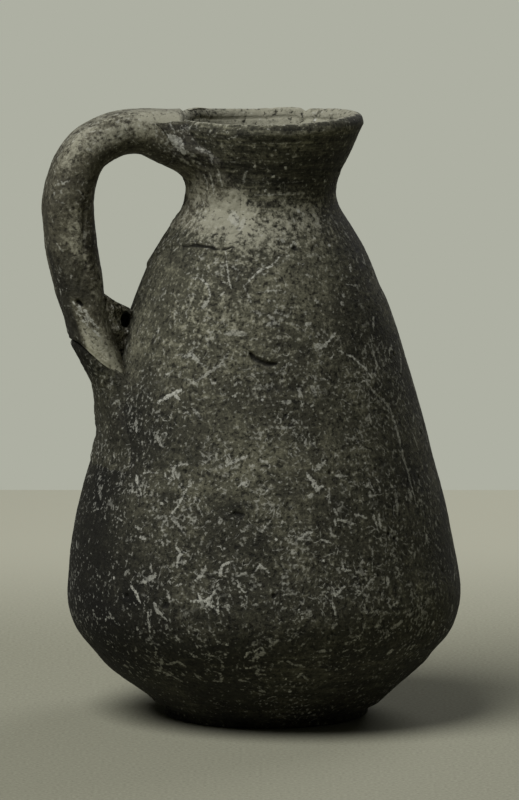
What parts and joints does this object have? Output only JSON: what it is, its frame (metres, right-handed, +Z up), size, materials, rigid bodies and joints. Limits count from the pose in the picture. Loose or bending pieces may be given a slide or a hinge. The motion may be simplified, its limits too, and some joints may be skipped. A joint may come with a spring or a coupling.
{
  "type": "jug",
  "caption": "Hand-built unglazed clay jug with a pear-shaped body, narrow neck, flared mouth with a rolled lip and one thick arched handle from lip to shoulder.",
  "frame": {"origin": "centre of the flat foot, on the surface that the jug stands on", "axes": "+Z up towards the mouth; the handle is at -X, turned 13 degrees towards -Y"},
  "size_m": [0.1643, 0.1554, 0.2396],
  "materials": {
    "dark_ware": "matt, smoke-darkened fired earthenware with pale root marks",
    "pale_ware": "matt fired earthenware under a pale lime bloom",
    "coarse_clay": "matt, rough and unsmoothed"
  },
  "bodies": {
    "root": {"foot_disc": "dark_ware", "lower_wall": "dark_ware", "belly_wall": "dark_ware", "upper_wall": "dark_ware", "shoulder_ring": "pale_ware", "mouth_flare": "dark_ware", "rolled_lip": "pale_ware", "handle": "pale_ware", "handle_top_luting": "pale_ware", "handle_foot_luting": "dark_ware", "crotch_lump": "coarse_clay"}
  },
  "joints": []
}
